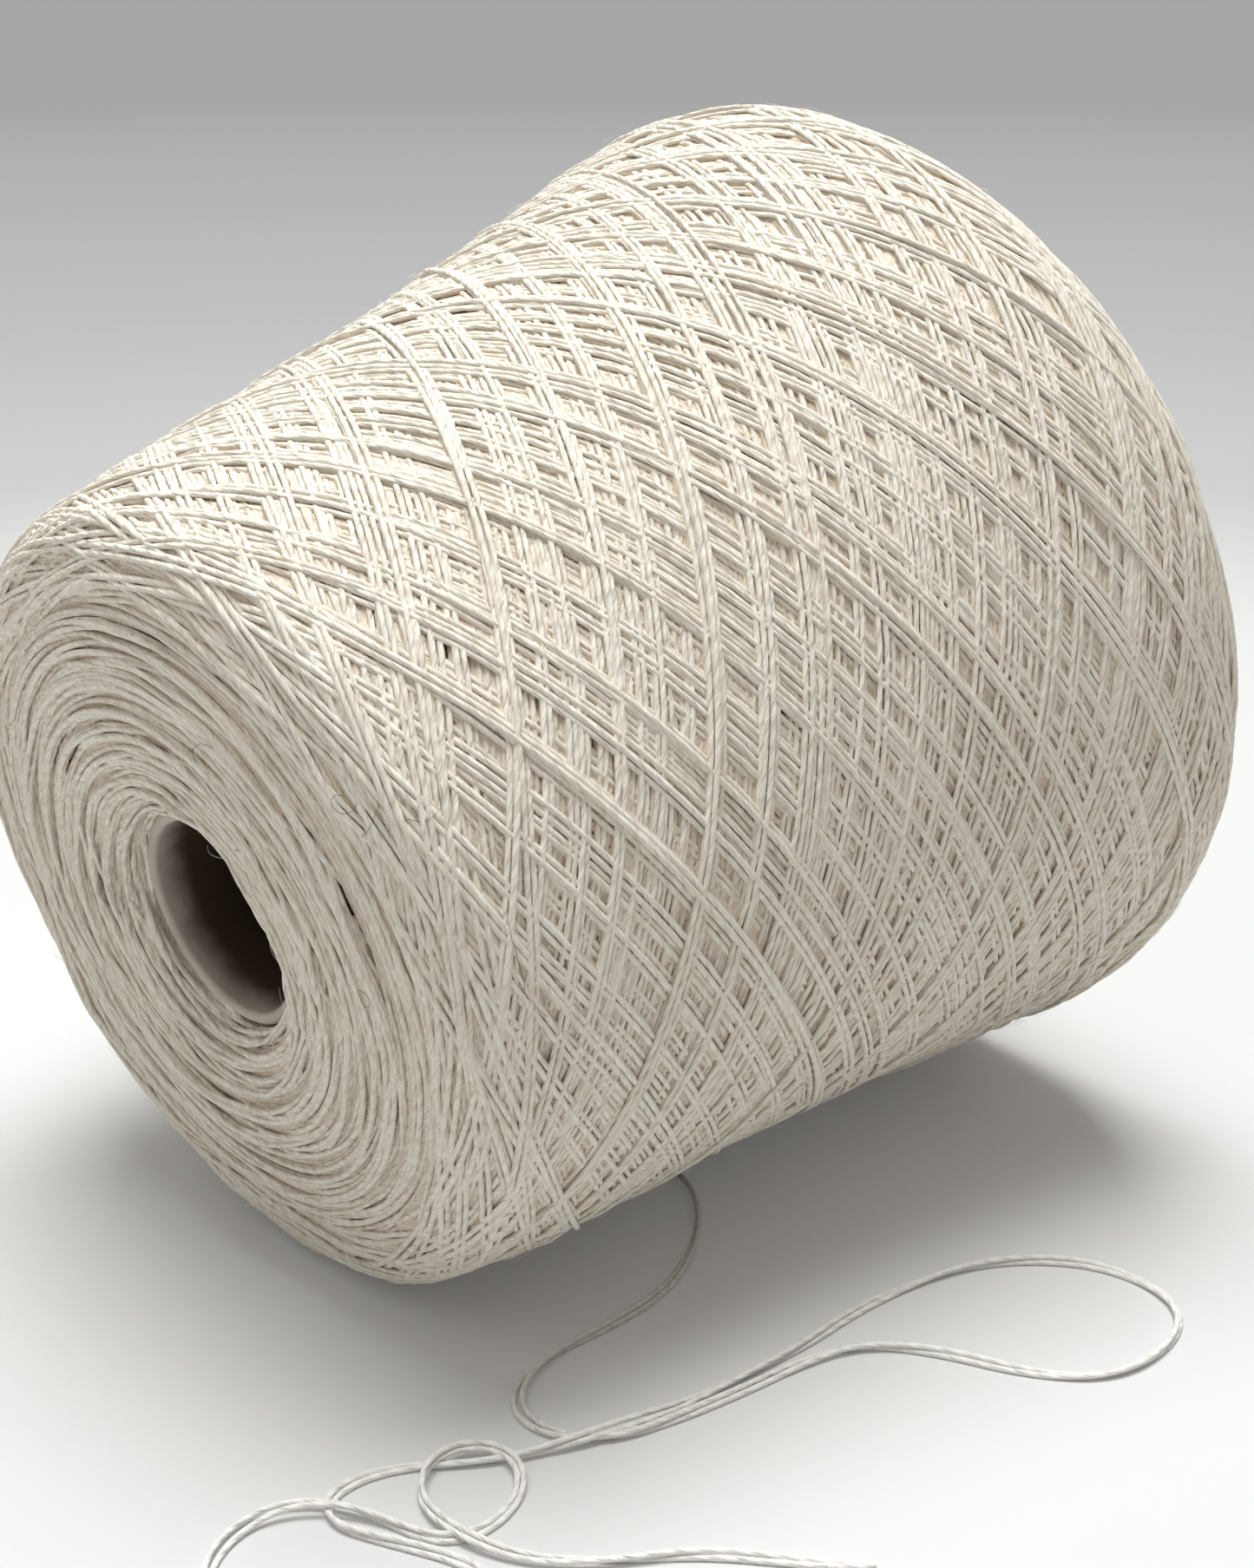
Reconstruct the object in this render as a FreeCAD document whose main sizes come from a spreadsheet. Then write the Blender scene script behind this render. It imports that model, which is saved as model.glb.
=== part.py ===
import FreeCAD, Part

import math
import os

import Sketcher

# A cone of thread wound crosswise on a tapered paper tube, lying on its side.
# While it is built, the package has a frame of its own: local Z runs along the tube from
# the small rim of the winding, at station 0, to the large end, and local X points at the
# floor. Laid on its side, it is turned so that its lowest line meets the floor at Z = 0.

# Driving sizes in millimetres, degrees or plain counts
SIZES = [
    ("traverse", 150.0),
    ("small_winding_dia", 135.0),
    ("large_winding_dia", 188.0),
    ("thread_dia", 1.4),
    ("lay_gap", 0.3),
    ("cross_gap", 0.5),
    ("rim_round", 7.5),
    ("small_crown", 3.0),
    ("large_crown", 2.0),
    ("mouth_gap", 2.5),
    ("mouth_depth", 5.0),
    ("mouth_round", 4.0),
    ("nose_dia", 38.0),
    ("nose_recess", 2.7),
    ("nose_round", 1.0),
    ("nose_land", 8.0),
    ("tube_length", 163.0),
    ("tube_taper", 5.95),
    ("tube_wall", 2.2),
    ("tube_fit", 0.2),
    ("base_round", 0.6),
    ("sleeve_start", 9.8),
    ("sleeve_end", 144.0),
    ("sleeve_round", 2.5),
    ("small_face_loops", 20),
    ("tail_station", 69.5),
    ("tail_angle", 14.0),
    ("floor_trim", 0.5),
]

# The loose tail's route on the floor, as X, Y and how many threads it lies above the floor.
# It leaves the winding, bows to the left, runs out to a long loop on the right and back,
# turns outside the view, and ends in a small round loop and a bare cut end.
TAIL_POINTS = [
    (-1.0, -25.2, 0),
    (-3.6, -34.6, 0),
    (-13.4, -45.2, 0),
    (-28.8, -52.6, 0),
    (-43.0, -53.2, 0),
    (-55.2, -52.0, 0),
    (-64.4, -54.2, 0),
    (-68.8, -60.0, 0),
    (-67.8, -67.6, 0),
    (-61.8, -74.4, 0),
    (-52.0, -77.3, 0),
    (-40.6, -79.4, 0),
    (-29.4, -80.8, 0),
    (-18.6, -84.4, 0),
    (-10.8, -94.4, 0),
    (-5.0, -108.0, 0),
    (3.6, -118.2, 0),
    (16.4, -120.2, 0),
    (26.2, -116.2, 0),
    (29.6, -107.2, 0),
    (27.4, -97.6, 0),
    (20.4, -89.2, 0),
    (10.2, -82.8, 0),
    (-1.2, -79.4, 0),
    (-12.6, -78.3, 0),
    (-24.0, -78.8, 0),
    (-35.2, -77.6, 0),
    (-46.4, -75.9, 0.1),
    (-57.8, -74.1, 1),
    (-67.2, -71.2, 1),
    (-75.0, -67.2, 0),
    (-81.8, -62.4, 0),
    (-88.2, -56.6, 0),
    (-95.0, -53.9, 0),
    (-101.4, -54.6, 0),
    (-103.8, -59.4, 0),
    (-101.6, -65.2, 0),
    (-98.6, -71.0, 0),
    (-95.4, -77.8, 0),
    (-94.2, -86.4, 0),
    (-97.6, -95.6, 0),
    (-106.0, -101.0, 0),
    (-116.0, -99.6, 0),
    (-124.0, -92.4, 0),
    (-128.0, -81.6, 0),
    (-128.6, -70.4, 0),
    (-126.4, -60.4, 0),
    (-120.4, -53.0, 0),
    (-113.0, -50.2, 0.2),
    (-106.2, -52.2, 1),
    (-100.6, -58.2, 1),
    (-97.8, -65.0, 0),
    (-95.6, -72.4, 0),
    (-89.4, -75.6, 0),
    (-81.4, -73.8, 0),
    (-77.0, -69.6, 1),
    (-76.8, -63.8, 1),
    (-81.2, -59.6, 1),
    (-87.4, -59.8, 1),
    (-91.8, -64.0, 0.5),
    (-93.2, -70.0, 1),
    (-92.2, -77.0, 1),
    (-88.2, -84.8, 0),
    (-80.6, -92.6, 0),
    (-70.4, -100.4, 0),
    (-62.6, -110.4, 0),
    (-55.6, -118.6, 0),
]

# Share of the shorter run that each side of a corner's arc takes up
ARC_SHARE = 0.45
# Where the face turns start on the mouth's round and stop on the rim's round
MOUTH_SHARE = 0.45
RIM_SHARE = 0.85
# Two points of a thread this near, but further apart along it, are measured as a gap
GAP_REACH = 4.0
GAP_STEP = 0.6
# Small turn for the direction of a thread
SMALL_ANGLE = 1e-4

doc = FreeCAD.newDocument("thread_cone")
sheet = doc.addObject("Spreadsheet::Sheet", "Sizes")
for row, (alias, value) in enumerate(SIZES, start=1):
    sheet.set(f"A{row}", alias)
    sheet.set(f"B{row}", str(value))
    sheet.setAlias(f"B{row}", alias)
doc.recompute()


def worth(expression):
    """The plain number that an expression on the sheet comes to."""
    return float(sheet.evalExpression(expression))


# Expressions that several pieces share
RISE = "((Sizes.large_winding_dia - Sizes.small_winding_dia) / 2)"
SLANT = f"sqrt(Sizes.traverse * Sizes.traverse + {RISE} * {RISE})"
SKIN = "(2 * Sizes.thread_dia + Sizes.lay_gap + Sizes.cross_gap)"
FACE = "(Sizes.thread_dia + Sizes.lay_gap)"
TUBE_END = "(Sizes.nose_recess + Sizes.tube_length)"


def winding_side(station):
    """Radius of the winding's slanting side at a station."""
    return f"(Sizes.small_winding_dia / 2 + {station} * {RISE} / Sizes.traverse)"


def core_side(station):
    """Radius of the plain core's slanting side at a station."""
    return f"({winding_side(station)} - {SKIN} * {SLANT} / Sizes.traverse)"


def tube_side(station):
    """Outer radius of the tapered tube at a station."""
    return f"(Sizes.nose_dia / 2 + ({station} - Sizes.nose_recess) * tan(Sizes.tube_taper * 1 deg))"


# Corners of the core's outline, each a radius and a station
SMALL_STATION = f"({FACE} - Sizes.small_crown)"
LARGE_STATION = f"(Sizes.traverse - {FACE} + Sizes.large_crown)"
LARGE_SEAT_STATION = "(Sizes.traverse - Sizes.mouth_depth)"
LARGE_RIM_STATION = f"(Sizes.traverse - {FACE})"
SMALL_SEAT = (f"({tube_side('Sizes.mouth_depth')} + Sizes.tube_fit)", "Sizes.mouth_depth")
SMALL_MOUTH = ("(Sizes.nose_dia / 2 + Sizes.mouth_gap)", SMALL_STATION)
SMALL_RIM = (core_side(FACE), FACE)
LARGE_RIM = (core_side(LARGE_RIM_STATION), LARGE_RIM_STATION)
LARGE_MOUTH = (f"({tube_side(LARGE_STATION)} + Sizes.mouth_gap)", LARGE_STATION)
LARGE_SEAT = (f"({tube_side(LARGE_SEAT_STATION)} + Sizes.tube_fit)", LARGE_SEAT_STATION)


def lay_on_side(piece):
    """Turn a finished piece from the package's frame onto its side on the floor."""
    lean = f"atan({RISE} / Sizes.traverse) / 1 deg"
    tube_reach = f"({TUBE_END} * Sizes.traverse + {tube_side(TUBE_END)} * {RISE}) / {SLANT}"
    rim_reach = f"(Sizes.small_winding_dia / 2 - Sizes.rim_round) * {RISE} / {SLANT}"
    height = f"Sizes.small_winding_dia / 2 * Sizes.traverse / {SLANT}"
    piece.Placement = FreeCAD.Placement(
        FreeCAD.Vector(0, 0, 0), FreeCAD.Rotation(FreeCAD.Vector(0, 1, 0), 90 - worth(lean))
    )
    piece.setExpression("Placement.Rotation.Angle", f"90 - {lean}")
    piece.setExpression("Placement.Base.x", f"-({tube_reach} - {rim_reach}) / 2")
    piece.setExpression("Placement.Base.z", f"{height} - Sizes.floor_trim")
    doc.recompute()


def turned_body(label, corners, rounds):
    """A body turned about local Z from its outline's corners, with rounded edges."""
    body = doc.addObject("PartDesign::Body", label)
    body.Label = label
    plane = [item for item in body.Origin.OriginFeatures if item.Role == "XZ_Plane"][0]
    sketch = body.newObject("Sketcher::SketchObject", f"{label}_outline")
    sketch.AttachmentSupport = (plane, [""])
    sketch.MapMode = "FlatFace"
    spots = [FreeCAD.Vector(worth(radius), worth(station), 0) for radius, station in corners]
    for spot, after in zip(spots, spots[1:] + spots[:1]):
        sketch.addGeometry(Part.LineSegment(spot, after), False)
    for index, (spot, corner) in enumerate(zip(spots, corners)):
        after = (index + 1) % len(spots)
        sketch.addConstraint(Sketcher.Constraint("Coincident", index, 2, after, 1))
        across = sketch.addConstraint(Sketcher.Constraint("DistanceX", -1, 1, index, 1, spot.x))
        sketch.setExpression(f"Constraints[{across}]", corner[0])
        along = sketch.addConstraint(Sketcher.Constraint("DistanceY", -1, 1, index, 1, spot.y))
        sketch.setExpression(f"Constraints[{along}]", corner[1])
    feature = body.newObject("PartDesign::Revolution", f"{label}_turned")
    feature.Profile = sketch
    feature.ReferenceAxis = (sketch, ["V_Axis"])
    feature.Angle = 360
    doc.recompute()
    for name, corner, amount in rounds:
        rounded = body.newObject("PartDesign::Fillet", f"{label}_{name}")
        rounded.Base = (feature, [ring_at(feature.Shape, corner)])
        rounded.setExpression("Radius", amount)
        feature = rounded
        doc.recompute()
    body.Tip = feature
    lay_on_side(body)
    return body


def ring_at(shape, corner):
    """Name of the circular edge nearest to a corner's radius and station."""
    radius = worth(corner[0])
    station = worth(corner[1])
    misses = []
    for number, edge in enumerate(shape.Edges, start=1):
        if edge.Curve.TypeId == "Part::GeomCircle":
            ring = edge.Curve
            misses.append((math.hypot(ring.Radius - radius, ring.Center.z - station), number))
    return f"Edge{min(misses)[1]}"


def make_tube():
    """The tapered paper tube, with a short round land inside its rounded nose."""
    bore = "(Sizes.nose_dia / 2 - Sizes.tube_wall)"
    land_end = "(Sizes.nose_recess + Sizes.nose_land)"
    base_bore = f"({tube_side(TUBE_END)} - Sizes.tube_wall)"
    nose_outside = ("Sizes.nose_dia / 2", "Sizes.nose_recess")
    base_outside = (tube_side(TUBE_END), TUBE_END)
    base_inside = (base_bore, TUBE_END)
    nose_inside = (bore, "Sizes.nose_recess")
    corners = [nose_outside, base_outside, base_inside, (bore, land_end), nose_inside]
    rounds = [
        ("nose_outside", nose_outside, "Sizes.nose_round"),
        ("nose_inside", nose_inside, "Sizes.nose_round"),
        ("base_outside", base_outside, "Sizes.base_round"),
        ("base_inside", base_inside, "Sizes.base_round"),
    ]
    return turned_body("cone_tube", corners, rounds)


def make_core():
    """The inner layers of the winding as one plain body, crowned at both faces."""
    corners = [SMALL_SEAT, SMALL_MOUTH, SMALL_RIM, LARGE_RIM, LARGE_MOUTH, LARGE_SEAT]
    rounds = [
        ("small_mouth", SMALL_MOUTH, "Sizes.mouth_round"),
        ("small_rim", SMALL_RIM, "Sizes.rim_round"),
        ("large_rim", LARGE_RIM, "Sizes.rim_round"),
        ("large_mouth", LARGE_MOUTH, "Sizes.mouth_round"),
    ]
    return turned_body("thread_core", corners, rounds)


def make_sleeve():
    """The outermost crossing layers as one plain sleeve, cut flat where it stands."""
    start, end = "Sizes.sleeve_start", "Sizes.sleeve_end"
    inside = f"Sizes.lay_gap * {SLANT} / Sizes.traverse"
    start_outside = (winding_side(start), start)
    end_outside = (winding_side(end), end)
    start_inside = (f"({core_side(start)} + {inside})", start)
    end_inside = (f"({core_side(end)} + {inside})", end)
    corners = [start_inside, start_outside, end_outside, end_inside]
    rounds = [
        ("small_edge", start_outside, "Sizes.sleeve_round"),
        ("large_edge", end_outside, "Sizes.sleeve_round"),
    ]
    whole = turned_body("winding_sleeve", corners, rounds)
    floor = doc.addObject("Part::Box", "floor_block")
    for side in ("Length", "Width", "Height"):
        floor.setExpression(side, "2 * Sizes.large_winding_dia")
    floor.setExpression("Placement.Base.x", "-Sizes.large_winding_dia")
    floor.setExpression("Placement.Base.y", "-Sizes.large_winding_dia")
    floor.setExpression("Placement.Base.z", "-2 * Sizes.large_winding_dia")
    sleeve = doc.addObject("Part::Cut", "cross_winding")
    sleeve.Label = "cross_winding"
    sleeve.Base = whole
    sleeve.Tool = floor
    doc.recompute()
    return sleeve


def make_large_face():
    """The turns on the large end's face as one plain ring along the core's face."""
    slope = f"Sizes.large_crown / ({LARGE_RIM[0]} - {LARGE_MOUTH[0]})"
    inner = f"({LARGE_MOUTH[0]} + Sizes.mouth_round)"
    outer = f"({LARGE_RIM[0]} - Sizes.rim_round)"
    inner_seat = f"({LARGE_STATION} + Sizes.lay_gap - Sizes.mouth_round * {slope})"
    outer_seat = f"({LARGE_RIM_STATION} + Sizes.lay_gap + Sizes.rim_round * {slope})"
    corners = [
        (inner, inner_seat),
        (outer, outer_seat),
        (outer, f"({outer_seat} + Sizes.thread_dia)"),
        (inner, f"({inner_seat} + Sizes.thread_dia)"),
    ]
    return turned_body("large_end_turns", corners, [])


def corner_arc(start, corner, end):
    """The arc that leaves start towards a corner and arrives at end from it."""
    way_in = (corner - start).normalize()
    way_out = (end - corner).normalize()
    turn = way_in.getAngle(way_out)
    radius = (corner - start).Length / math.tan(turn / 2)
    inward = (way_out - way_in * way_in.dot(way_out)).normalize()
    centre = start + inward * radius
    middle = centre - inward * radius * math.cos(turn / 2) + way_in * radius * math.sin(turn / 2)
    return Part.Arc(start, middle, end).toShape()


def biarc(start, way_in, end, way_out):
    """Two arcs in space that meet smoothly, from one point and direction to another."""
    chord = end - start
    spread = 2 * (1 - way_in.dot(way_out))
    along = chord.dot(way_in + way_out)
    reach = (math.sqrt(along * along + spread * chord.dot(chord)) - along) / spread
    first = start + way_in * reach
    second = end - way_out * reach
    joint = (first + second) * 0.5
    return [corner_arc(start, first, joint), corner_arc(joint, second, end)]


def quarter_steps(first, last):
    """Angles from first to last in equal steps of a quarter turn at most."""
    count = math.ceil((last - first) / (math.pi / 2))
    return [first + (last - first) * number / count for number in range(count + 1)]


def wound_route(spot, angles, straight):
    """A thread's centre line through spot at the given angles, with straight ends."""
    points = [spot(angle) for angle in angles]
    ways = [spot(angle + SMALL_ANGLE) - spot(angle - SMALL_ANGLE) for angle in angles]
    for way in ways:
        way.normalize()
    edges = [Part.LineSegment(points[0] - ways[0] * straight, points[0]).toShape()]
    for index in range(len(angles) - 1):
        edges += biarc(points[index], ways[index], points[index + 1], ways[index + 1])
    edges.append(Part.LineSegment(points[-1], points[-1] + ways[-1] * straight).toShape())
    return edges


def thread_tube(edges, thread_dia):
    """One unbroken round tube along a route, with its seam towards lower Z."""
    start = edges[0].valueAt(edges[0].FirstParameter)
    way = edges[0].tangentAt(edges[0].FirstParameter)
    seam_side = FreeCAD.Vector(0, 0, -1)
    ring = Part.makeCircle(thread_dia / 2)
    ring.Placement = FreeCAD.Placement(
        start, FreeCAD.Rotation(seam_side, FreeCAD.Vector(0, 0, 0), way, "ZXY")
    )
    return Part.Wire(edges).makePipeShell([Part.Wire([ring])], True, False, 0)


def least_gap(edges, thread_dia):
    """Least clear distance of a thread from itself, on points along its centre line."""
    points = []
    travel = 0.0
    for edge in edges:
        count = math.ceil(edge.Length / GAP_STEP) + 1
        for number, point in enumerate(edge.discretize(Number=count)):
            points.append((point, travel + edge.Length * number / (count - 1)))
        travel += edge.Length
    cells = {}
    for index, (point, place) in enumerate(points):
        cell = tuple(math.floor(value / GAP_REACH) for value in point)
        cells.setdefault(cell, []).append(index)
    steps = (-1, 0, 1)
    around = [(east, north, up) for east in steps for north in steps for up in steps]
    nearest = GAP_REACH
    for cell, members in cells.items():
        for step in around:
            others = cells.get(tuple(value + move for value, move in zip(cell, step)), [])
            for index in members:
                point, place = points[index]
                for other in others:
                    if other > index and points[other][1] - place > math.pi * GAP_REACH:
                        nearest = min(nearest, point.distanceToPoint(points[other][0]))
    return nearest - thread_dia


def thread_piece(label, edges, thread_dia):
    """A document object for one thread, with its length, volume and gap printed."""
    piece = doc.addObject("Part::Feature", label)
    piece.Label = label
    piece.Shape = thread_tube(edges, thread_dia)
    length = sum(edge.Length for edge in edges)
    ratio = piece.Shape.Volume / (math.pi * thread_dia**2 / 4 * length)
    gap = least_gap(edges, thread_dia)
    print(f"{label}: {length:.0f} mm long, volume {ratio:.4f} of section times length,")
    print(f"  least gap to itself {gap:.2f} mm")
    return piece


def face_line():
    """The line over the core's small end that turns follow, as radius and station."""
    outline = (SMALL_SEAT, SMALL_MOUTH, SMALL_RIM, LARGE_RIM)
    spots = [FreeCAD.Vector(worth(radius), worth(station), 0) for radius, station in outline]
    lift = worth("Sizes.lay_gap + Sizes.thread_dia / 2")
    arcs = []
    for index, radius in ((1, worth("Sizes.mouth_round")), (2, worth("Sizes.rim_round"))):
        before, corner, after = spots[index - 1 : index + 2]
        way_in = (corner - before).normalize()
        way_out = (after - corner).normalize()
        reach = radius * math.tan(way_in.getAngle(way_out) / 2)
        inward = (way_out - way_in * way_in.dot(way_out)).normalize()
        centre = corner - way_in * reach + inward * radius
        grow = (radius + lift) / radius
        ends = (corner - way_in * reach, corner, corner + way_out * reach)
        arcs.append(corner_arc(*[centre + (end - centre) * grow for end in ends]))
    mouth_end = arcs[0].valueAt(arcs[0].LastParameter)
    rim_start = arcs[1].valueAt(arcs[1].FirstParameter)
    return [arcs[0], Part.LineSegment(mouth_end, rim_start).toShape(), arcs[1]]


def face_route(thread_dia):
    """A flat spiral of thread over the small end, from its mouth out to its rim."""
    line = face_line()
    first = line[0].Length * MOUTH_SHARE
    last = line[0].Length + line[1].Length + line[2].Length * RIM_SHARE
    whole_turn = 2 * math.pi * worth("Sizes.small_face_loops")

    def spot(travel):
        """Centre of the thread at an angle that counts on through all the loops."""
        along = first + (last - first) * travel / whole_turn
        stretch = line[0]
        for following in line[1:]:
            if along > stretch.Length:
                along -= stretch.Length
                stretch = following
        flat = stretch.valueAt(stretch.getParameterByLength(along))
        return FreeCAD.Vector(flat.x * math.cos(travel), -flat.x * math.sin(travel), flat.y)

    return wound_route(spot, quarter_steps(0, whole_turn), thread_dia)


def tail_route(start, thread_dia):
    """The loose tail's route: straight runs joined by arcs as large as the runs allow."""
    layer = thread_dia + worth("Sizes.cross_gap")
    points = [start]
    for east, north, level in TAIL_POINTS:
        points.append(FreeCAD.Vector(east, north, thread_dia / 2 + level * layer))
    edges = []
    radii = []
    reached = points[0]
    for before, corner, after in zip(points, points[1:], points[2:]):
        way_in = (corner - before).normalize()
        way_out = (after - corner).normalize()
        cut = ARC_SHARE * min((corner - before).Length, (after - corner).Length)
        arc_start = corner - way_in * cut
        arc_end = corner + way_out * cut
        edges.append(Part.LineSegment(reached, arc_start).toShape())
        edges.append(corner_arc(arc_start, corner, arc_end))
        radii.append(cut / math.tan(way_in.getAngle(way_out) / 2))
        reached = arc_end
    edges.append(Part.LineSegment(reached, points[-1]).toShape())
    print("loose_tail radii:", ", ".join(f"{radius:.1f}" for radius in radii))
    return edges


def make_small_face():
    """The turns on the small end's face, as one unbroken spiral of thread."""
    thread_dia = worth("Sizes.thread_dia")
    piece = thread_piece("small_end_turns", face_route(thread_dia), thread_dia)
    lay_on_side(piece)
    return piece


def make_tail(laid):
    """The loose tail, from beside the sleeve's underside to its bare cut end."""
    thread_dia = worth("Sizes.thread_dia")
    around = math.radians(worth("Sizes.tail_angle"))
    off_sleeve = f"(Sizes.lay_gap + Sizes.thread_dia / 2) * {SLANT} / Sizes.traverse"
    radius = worth(f"{winding_side('Sizes.tail_station')} + {off_sleeve}")
    start = laid.multVec(
        FreeCAD.Vector(
            radius * math.cos(around), -radius * math.sin(around), worth("Sizes.tail_station")
        )
    )
    print(f"loose_tail: starts at {start.x:.2f}, {start.y:.2f}, {start.z:.2f}")
    return thread_piece("loose_tail", tail_route(start, thread_dia), thread_dia)


cone_tube = make_tube()
thread_core = make_core()
cross_winding = make_sleeve()
small_end_turns = make_small_face()
large_end_turns = make_large_face()
loose_tail = make_tail(thread_core.Placement)
doc.recompute()

pieces = [cone_tube, thread_core, cross_winding, small_end_turns, large_end_turns, loose_tail]
for item in doc.Objects:
    if "Invalid" in item.State or "Error" in item.State:
        raise RuntimeError(f"{item.Label} did not recompute")
for piece in pieces:
    if piece.Shape.isNull() or not piece.Shape.isValid():
        raise RuntimeError(f"{piece.Label} has no valid shape")

os.makedirs("parts", exist_ok=True)
for piece in pieces:
    piece.Shape.exportStep(f"parts/{piece.Label}.step")
    box = piece.Shape.BoundBox
    print(f"{piece.Label}: {len(piece.Shape.Solids)} solid, volume {piece.Shape.Volume:.0f},")
    print(f"  X {box.XMin:.1f} to {box.XMax:.1f}, Y {box.YMin:.1f} to {box.YMax:.1f},")
    print(f"  Z {box.ZMin:.2f} to {box.ZMax:.1f}")
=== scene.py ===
import logging
import math
from dataclasses import dataclass, field, replace
from enum import Enum

import bpy
import numpy as np
from mathutils import Matrix, Vector

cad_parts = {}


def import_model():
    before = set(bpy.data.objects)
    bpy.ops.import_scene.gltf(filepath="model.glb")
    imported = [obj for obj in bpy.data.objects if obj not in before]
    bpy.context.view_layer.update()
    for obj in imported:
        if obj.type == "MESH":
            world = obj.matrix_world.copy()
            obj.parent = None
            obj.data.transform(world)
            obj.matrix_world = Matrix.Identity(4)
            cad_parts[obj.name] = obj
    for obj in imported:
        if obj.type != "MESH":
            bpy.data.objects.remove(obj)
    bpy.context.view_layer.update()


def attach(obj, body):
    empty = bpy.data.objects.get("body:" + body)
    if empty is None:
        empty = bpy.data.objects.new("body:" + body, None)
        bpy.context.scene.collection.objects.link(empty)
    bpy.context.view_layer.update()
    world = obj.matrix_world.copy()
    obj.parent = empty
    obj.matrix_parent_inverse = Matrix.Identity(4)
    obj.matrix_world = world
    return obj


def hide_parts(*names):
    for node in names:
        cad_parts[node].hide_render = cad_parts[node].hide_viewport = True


# A cone of undyed thread, cross-wound on a tapered paper tube and lying on its side, with a
# loose tail of two thin ends on the floor. Sizes are in millimetres until a mesh is made.

LOG = logging.getLogger("thread_cone")
MM = 0.001
TURN = 2 * math.pi
Colour = tuple[float, float, float]
Spot = tuple[float, float, float]


class End(Enum):
    """The two ends of the package."""

    SMALL = "small"
    LARGE = "large"


@dataclass(frozen=True)
class Pose:
    """Where the package lies: its small end's centre, and how far its axis rises."""

    start_x: float = -79.498
    start_z: float = 65.971
    rise: float = math.atan2(26.5, 150.0)

    def place(self, down: np.ndarray, side: np.ndarray, station: np.ndarray) -> np.ndarray:
        """Turn places in the package's own frame into the row's frame.

        Args:
            down: Distance from the axis towards the floor, in millimetres.
            side: Distance to the left of the axis, in millimetres.
            station: Distance along the axis from the small end, in millimetres.

        Returns:
            Points in millimetres, one per row.
        """
        cos, sin = math.cos(self.rise), math.sin(self.rise)
        return np.stack(
            [
                self.start_x + station * cos + down * sin,
                side + 0 * station,
                self.start_z + station * sin - down * cos,
            ],
            axis=-1,
        )

    def turned(self, radius: np.ndarray, angle: np.ndarray, station: np.ndarray) -> np.ndarray:
        """Points at a radius, an angle from the floor side and a station, in the row's frame."""
        return self.place(radius * np.cos(angle), -radius * np.sin(angle), station)

    def matrix(self) -> Matrix:
        """Matrix from the package's own frame in millimetres to the row's frame in metres."""
        cos, sin = math.cos(self.rise), math.sin(self.rise)
        return Matrix(
            (
                (sin * MM, 0.0, cos * MM, self.start_x * MM),
                (0.0, MM, 0.0, 0.0),
                (-cos * MM, 0.0, sin * MM, self.start_z * MM),
                (0.0, 0.0, 0.0, 1.0),
            )
        )


class Contour:
    """The winding's outline from the small mouth over both rims to the large mouth."""

    SPOTS = (
        (5.5, 19.7), (1.6, 20.2), (-1.2, 22.6), (-2.7, 28.0), (-2.6, 40.0), (-1.3, 52.0),
        (0.3, 60.0), (2.1, 63.6), (4.8, 66.2), (8.7, 68.1), (14.0, 69.6), (30.0, 71.9),
        (50.0, 74.8), (75.0, 78.9), (100.0, 83.6), (120.0, 87.9), (135.0, 91.3), (142.6, 92.7),
        (146.8, 91.9), (149.4, 89.4), (150.4, 85.5), (151.0, 76.0), (151.6, 60.0),
        (151.5, 46.0), (149.6, 39.0), (146.0, 36.4),
    )

    def __init__(self) -> None:
        """Draw a smooth line through the spots and measure along it."""
        spots = np.array(self.SPOTS)
        chord = np.concatenate([[0.0], np.cumsum(np.hypot(*np.diff(spots, axis=0).T))])
        slopes = np.gradient(spots, chord, axis=0)
        fine = np.linspace(0.0, chord[-1], 6000)
        index = np.clip(np.searchsorted(chord, fine, side="right") - 1, 0, len(chord) - 2)
        span = (chord[index + 1] - chord[index])[:, None]
        share = ((fine - chord[index]) / span[:, 0])[:, None]
        line = (
            (2 * share**3 - 3 * share**2 + 1) * spots[index]
            + (share**3 - 2 * share**2 + share) * span * slopes[index]
            + (3 * share**2 - 2 * share**3) * spots[index + 1]
            + (share**3 - share**2) * span * slopes[index + 1]
        )
        self.along = np.concatenate([[0.0], np.cumsum(np.hypot(*np.diff(line, axis=0).T))])
        self.station, self.radius = line[:, 0], line[:, 1]
        way = unit(np.gradient(line, self.along, axis=0))
        self.out_station, self.out_radius = -way[:, 1], way[:, 0]
        self.length = float(self.along[-1])

    def at(self, along: np.ndarray, height: np.ndarray) -> tuple[np.ndarray, np.ndarray]:
        """Station and radius at a place along the outline and a height over it.

        Args:
            along: Distance along the outline in millimetres.
            height: Distance outwards from the outline in millimetres.

        Returns:
            The stations and the radii, in millimetres.
        """
        out_s = np.interp(along, self.along, self.out_station)
        out_r = np.interp(along, self.along, self.out_radius)
        station = np.interp(along, self.along, self.station) + height * out_s
        return station, np.interp(along, self.along, self.radius) + height * out_r

    def outward(self, along: np.ndarray) -> tuple[np.ndarray, np.ndarray]:
        """Outward direction along the axis and away from it, at places along the outline."""
        return (
            np.interp(along, self.along, self.out_station),
            np.interp(along, self.along, self.out_radius),
        )

    def side_place(self, station: float) -> float:
        """Distance along the outline where its slanting side passes a station."""
        side = self.radius > 58.0
        return float(np.interp(station, self.station[side], self.along[side]))


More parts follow.
